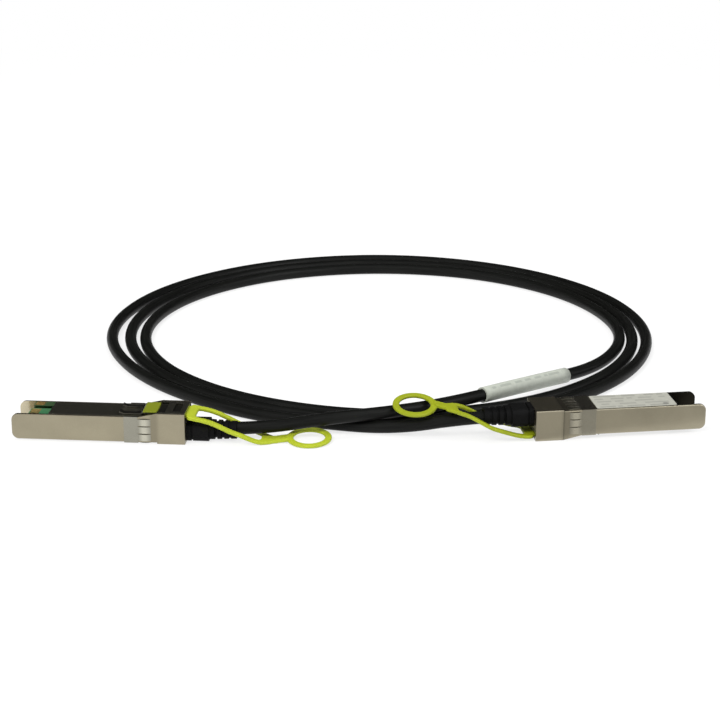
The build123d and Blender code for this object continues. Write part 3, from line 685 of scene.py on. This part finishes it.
def nose_inside(place, heading):
    """1 on the inner faces of the cheeks at the nose."""

    def read(tree):
        along = local_axis("X", place, heading)(tree)
        across = maths(tree, "ABSOLUTE", local_axis("Y", place, heading)(tree), 0)
        deep = maths(tree, "LESS_THAN", across, CHEEK_INSIDE * MM)
        return maths(tree, "MULTIPLY", deep, maths(tree, "GREATER_THAN", along, NOSE_START * MM))

    return read


def housing_shade(place, heading):
    """Share of the strap's head that is painted in shade, where it lies in the housing."""

    def read(tree):
        along = local_axis("X", place, heading)(tree)
        return ramp(tree, along, HEAD_START * MM, (HEAD_START + HEAD_FADE) * MM, 0.0, 1.0)

    return read


# Studio

def light(name, place, target, size, power, colour):
    """An area lamp that points from its place at its target."""
    data = bpy.data.lights.new(name, "AREA")
    data.shape = "RECTANGLE"
    data.size = size[0]
    data.size_y = size[1]
    data.energy = power
    data.color = colour
    obj = bpy.data.objects.new(name, data)
    obj.location = place
    obj.rotation_euler = (Vector(target) - Vector(place)).to_track_quat("-Z", "Y").to_euler()
    bpy.context.collection.objects.link(obj)
    return obj


def backdrop_share(tree):
    """1 for rays that see the background itself: camera, glossy and transmission rays."""
    path = tree.nodes.new("ShaderNodeLightPath")
    share = maths(tree, "MAXIMUM", path.outputs["Is Camera Ray"], path.outputs["Is Glossy Ray"])
    return maths(tree, "MAXIMUM", share, path.outputs["Is Transmission Ray"])


def reflector(name, size, place, tilt, grey):
    """A plane of an even grey that only reflections see."""
    bpy.ops.mesh.primitive_plane_add(size=1.0)
    plane = bpy.context.object
    plane.name = name
    plane.scale = (*size, 1)
    plane.location = place
    plane.rotation_euler = (math.radians(tilt), 0, 0)
    material, tree, shader = new_material(name + "_tone")
    shader.inputs["Base Color"].default_value = (0, 0, 0, 1)
    shader.inputs["Specular IOR Level"].default_value = 0.0
    shader.inputs["Emission Color"].default_value = REFLECTED_TINT
    shader.inputs["Emission Strength"].default_value = grey
    plane.data.materials.append(material)
    plane.visible_camera = False
    plane.visible_diffuse = False
    plane.visible_shadow = False
    plane.visible_transmission = False
    return plane


def white_world():
    """A white world that lights softly and shows pure white."""
    world = bpy.data.worlds.new("studio")
    bpy.context.scene.world = world
    world.use_nodes = True
    tree = world.node_tree
    back = tree.nodes["Background"]
    back.inputs["Color"].default_value = (1, 1, 1, 1)
    strength = ramp(tree, backdrop_share(tree), 0.0, 1.0, WORLD_LIGHT, 1.0)
    link(tree, strength, back.inputs["Strength"])


def white_floor():
    """A matt floor that takes soft shadows near its middle and shows pure white far out."""
    bpy.ops.mesh.primitive_plane_add(size=FLOOR_SIZE)
    floor = bpy.context.object
    floor.name = "floor"
    material, tree, shader = new_material("floor_white")
    shader.inputs["Base Color"].default_value = (FLOOR_TONE, FLOOR_TONE, FLOOR_TONE, 1)
    shader.inputs["Roughness"].default_value = FLOOR_ROUGH
    shader.inputs["Specular IOR Level"].default_value = 0.0
    glow = tree.nodes.new("ShaderNodeEmission")
    glow.inputs["Strength"].default_value = 1.0
    blend = tree.nodes.new("ShaderNodeMixShader")
    distance = tree.nodes.new("ShaderNodeVectorMath")
    distance.operation = "LENGTH"
    link(tree, place_of(tree), distance.inputs[0])
    white = ramp(tree, distance.outputs["Value"], *SHADOW_REACH, FLOOR_GLOW, 1.0)
    link(tree, maths(tree, "MULTIPLY", backdrop_share(tree), white), blend.inputs["Fac"])
    link(tree, shader.outputs["BSDF"], blend.inputs[1])
    link(tree, glow.outputs["Emission"], blend.inputs[2])
    link(tree, blend.outputs["Shader"], tree.nodes["Material Output"].inputs["Surface"])
    floor.data.materials.append(material)
    return floor


def photo_camera():
    """The camera that took the photograph."""
    data = bpy.data.cameras.new("camera")
    data.lens = CAMERA_LENS
    data.sensor_width = CAMERA_SENSOR
    camera = bpy.data.objects.new("camera", data)
    camera.location = CAMERA_PLACE
    camera.rotation_euler = (math.radians(CAMERA_TILT), 0, 0)
    bpy.context.collection.objects.link(camera)
    bpy.context.scene.camera = camera


def studio():
    """World, floor, planes that only reflections see, lamps and camera."""
    white_world()
    floor = white_floor()
    flag = reflector("flag", FLAG_SIZE, FLAG_PLACE, FLAG_TILT, FLAG_GREY)
    card = reflector("card", CARD_SIZE, CARD_PLACE, 0.0, CARD_GREY)
    for name, place, target, size, power, colour, glossy in LAMPS:
        light(name, place, target, size, power, colour).visible_glossy = glossy
    photo_camera()
    bpy.context.scene.view_settings.view_transform = "Standard"


# Pieces

def dress(node, material):
    """Gives a CAD node its material."""
    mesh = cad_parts[node].data
    mesh.materials.clear()
    mesh.materials.append(material)


def soft_copy(node, name, body, slot, material):
    """A strap with softened moulded edges, in the place of its CAD node."""
    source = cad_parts[node]
    obj = bpy.data.objects.new(name, source.data.copy())
    bpy.context.collection.objects.link(obj)
    for kind in ("REMESH", "SMOOTH"):
        obj.modifiers.new(kind.lower(), kind)
    obj.modifiers["remesh"].mode = "VOXEL"
    obj.modifiers["remesh"].voxel_size = STRAP_VOXEL
    obj.modifiers["remesh"].use_smooth_shade = True
    obj.modifiers["smooth"].factor = STRAP_SMOOTHING
    obj.modifiers["smooth"].iterations = STRAP_ROUNDS
    depsgraph = bpy.context.evaluated_depsgraph_get()
    mesh = bpy.data.meshes.new_from_object(obj.evaluated_get(depsgraph))
    obj.modifiers.clear()
    obj.data = mesh
    mesh.materials.clear()
    mesh.materials.append(material)
    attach(obj, body)
    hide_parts(node)


def folding_springs(side, place, heading, material):
    """A plug's two leaf springs, which the slider presses together when it is pulled."""
    node = f"{side}_latch_springs"
    obj = bpy.data.objects.new(f"{side}_leaf_springs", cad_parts[node].data.copy())
    bpy.context.collection.objects.link(obj)
    obj.data.materials.clear()
    obj.data.materials.append(material)
    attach(obj, "root")
    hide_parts(node)
    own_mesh(obj)


def cable_and_sleeve():
    """The cable along its spline, and the label film round it."""
    route = cable_route()
    line = spline_line(route, LINE_STEPS)
    cable = tube("cable_jacket", line, CABLE_RADIUS * MM, CABLE_SIDES)
    cable.data.materials.append(jacket_material())
    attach(cable, "root")
    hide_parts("cable")

    corner = Vector(SLEEVE_CORNER) * MM
    n = min(range(len(route)), key=lambda k: (route[k] - corner).length)
    first = corner + (route[n - 1] - corner) * SLEEVE_BEFORE
    last = corner + (route[n + 1] - corner) * SLEEVE_AFTER
    start = min(range(len(line)), key=lambda k: (line[k] - first).length)
    end = min(range(len(line)), key=lambda k: (line[k] - last).length)
    part = line[start : end + 1]
    length = sum((b - a).length for a, b in zip(part, part[1:]))
    sleeve = tube("cable_label_film", part, SLEEVE_RADIUS * MM, SLEEVE_SIDES)
    ends = tuple(share * length for share in SLEEVE_PRINT)
    film = printed(
        "sleeve_film",
        uv_axis("X"),
        uv_axis("Y"),
        SLEEVE_ROWS,
        ends,
        SLEEVE_PAPER,
        SLEEVE_INK,
        SLEEVE_ROUGH,
    )
    sleeve.data.materials.append(film)
    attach(sleeve, "root")
    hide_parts("cable_label_sleeve")


def label_film():
    """Film of the right plug's label."""
    return printed(
        "label_film",
        local_axis("X", LABEL_MIDDLE, RIGHT_HEADING),
        local_axis("Y", LABEL_MIDDLE, RIGHT_HEADING),
        (LABEL_ROWS, -LABEL_HALF * MM, LABEL_HALF * MM, LABEL_SEED),
        tuple(share * (LABEL_REACH * MM) for share in LABEL_PRINT),
        LABEL_PAPER,
        LABEL_INK,
        LABEL_ROUGH,
        LABEL_SPOT,
    )


def main():
    """Studio, materials and pieces."""
    studio()
    left = (LEFT_PLACE, LEFT_HEADING)
    right = (RIGHT_PLACE, RIGHT_HEADING)
    # painted shade: each shell is duller in the step of its body
    shells = {
        "left": metal(
            "left_shell_nickel",
            LEFT_NICKEL,
            rough=0.36,
            wear=0.05,
            edge=0.00004,
            dark=0.8,
            shade=step_shade(*left),
            # painted reflection on the inner faces of the cheeks at the nose
            painted_reflection=nose_inside(*left),
        ),
        "right": metal(
            "right_shell_nickel",
            LIT_RIGHT_NICKEL,
            rough=0.36,
            wear=0.05,
            edge=0.00004,
            # painted shade: the right shell's cavities almost black, and its nose between the
            # cheeks darkened as well
            dark=0.05,
            shade=step_shade(*right),
            in_shade=nose_inside(*right),
        ),
    }
    # painted highlight on the crowns of the collar's fingers
    collars = {
        "left": metal("left_collar_steel", LEFT_STEEL, rough=0.30, painted_highlight=finger_painted_highlight(*left)),
        "right": metal("right_collar_steel", RIGHT_STEEL, rough=0.30, painted_highlight=finger_painted_highlight(*right)),
    }
    # painted shade on each strap's head where it lies in the housing
    straps = {
        "left": moulded(
            "left_strap_lime",
            LEFT_LIME,
            rough=0.45,
            spread=0.08,
            specular=0.30,
            in_shade=housing_shade(*left),
        ),
        "right": moulded(
            "right_strap_lime",
            SHADED_RIGHT_LIME,
            rough=0.45,
            spread=0.08,
            specular=0.30,
            in_shade=housing_shade(*right),
        ),
    }
    cover = metal("cover_nickel", COVER_NICKEL, rough=0.32)
    latch = metal("latch_steel", LATCH_STEEL, rough=0.30)
    slider = metal("slider_steel", SHADED_SLIDER_STEEL, rough=0.34, wear=0.05)
    spring = metal("spring_steel", SPRING_STEEL, rough=0.27)
    gold = metal("pad_gold", PAD_GOLD, rough=0.26, bump=0.05, dark=0.6)
    board = moulded("board_green", BOARD_GREEN, rough=0.35)
    chip = moulded("chip_black", CHIP_BLACK, rough=0.5)
    ceramic = moulded("capacitor_tan", CAPACITOR_TAN, rough=0.45)
    wire = moulded("wire_insulation", WIRE_WHITE, rough=0.35)
    boot = moulded("boot_black", BOOT_BLACK, rough=0.55, bump=0.35, specular=0.08)

    for side in ("left", "right"):
        for part, material in (
            ("top_shell", shells[side]),
            ("bottom_shell", cover),
            ("cover_rivets", latch),
            ("paddle_board", board),
            ("contact_pads", gold),
            ("memory_chip", chip),
            ("board_capacitors", ceramic),
            ("signal_wires", wire),
            ("crimp_ring", latch),
            ("strain_relief", boot),
            ("emi_collar", collars[side]),
            ("latch_slider", slider),
        ):
            dress(f"{side}_{part}", material)
        strap = (f"{side}_pull_strap", f"{side}_strap_moulding", f"{side}_latch")
        soft_copy(*strap, "strap_lime", straps[side])
    folding_springs("left", *left, spring)
    folding_springs("right", *right, spring)
    dress("right_label", label_film())
    cable_and_sleeve()


main()
